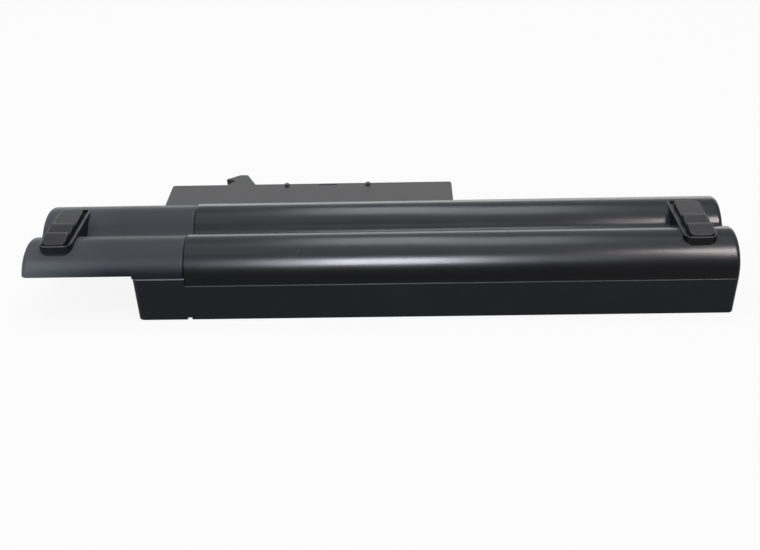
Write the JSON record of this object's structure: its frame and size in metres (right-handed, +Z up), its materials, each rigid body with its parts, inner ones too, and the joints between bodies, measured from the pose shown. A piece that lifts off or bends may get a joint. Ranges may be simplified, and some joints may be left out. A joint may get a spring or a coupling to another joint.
{
  "type": "laptop battery",
  "caption": "Extended laptop battery lying on its flat face: twin half-round cell barrels, an overhanging wing, rubber feet and a connector tongue with a latch hook.",
  "frame": {"origin": "centre of the bounding box on the flat face that lies on the table", "axes": "+X along the two rows of cells, away from the wing; +Y towards the connector tongue; +Z up, towards the rubber feet"},
  "size_m": [0.2418, 0.0754, 0.0285],
  "materials": {
    "case_gloss": "polished mould, deep black",
    "case_matt": "fine spark-eroded mould texture, dark grey",
    "pad_rubber": "moulded rubber, satin",
    "cell_sleeve": "shrink sleeve",
    "insulating_paper": "die-cut ring",
    "nickel": "rolled strip",
    "board_laminate": "solder mask",
    "chip_epoxy": "moulded epoxy",
    "capacitor_ceramic": "fired ceramic",
    "connector_plastic": "moulded nylon",
    "contact_gold": "gold flash",
    "lead_black": "extruded insulation",
    "lead_red": "extruded insulation",
    "lead_white": "extruded insulation"
  },
  "bodies": {
    "root": {"cell_cover": "case_gloss", "base_tray": "case_matt", "wing_cover": "case_matt", "wing_floor": "case_matt", "tongue_plate": "case_matt", "foot_pad_left": "pad_rubber", "foot_pad_right": "pad_rubber", "cell_1": "cell_sleeve", "cell_2": "cell_sleeve", "cell_3": "cell_sleeve", "cell_4": "cell_sleeve", "cell_5": "cell_sleeve", "cell_6": "cell_sleeve", "cell_washer_1": "insulating_paper", "cell_washer_2": "insulating_paper", "cell_washer_3": "insulating_paper", "cell_washer_4": "insulating_paper", "cell_washer_5": "insulating_paper", "cell_washer_6": "insulating_paper", "strip_negative": "nickel", "strip_low_tap": "nickel", "strip_high_tap": "nickel", "strip_positive": "nickel", "circuit_board": "board_laminate", "gauge_chip": "chip_epoxy", "mosfet_1": "chip_epoxy", "mosfet_2": "chip_epoxy", "cutoff_fuse": "chip_epoxy", "sense_resistor": "chip_epoxy", "thermistor": "chip_epoxy", "board_capacitors": "capacitor_ceramic", "connector_housing": "connector_plastic", "contact_blades": "contact_gold", "lead_negative": "lead_black", "lead_positive": "lead_red", "lead_low_tap": "lead_white", "lead_high_tap": "lead_white", "thermistor_lead": "lead_white"}
  },
  "joints": []
}
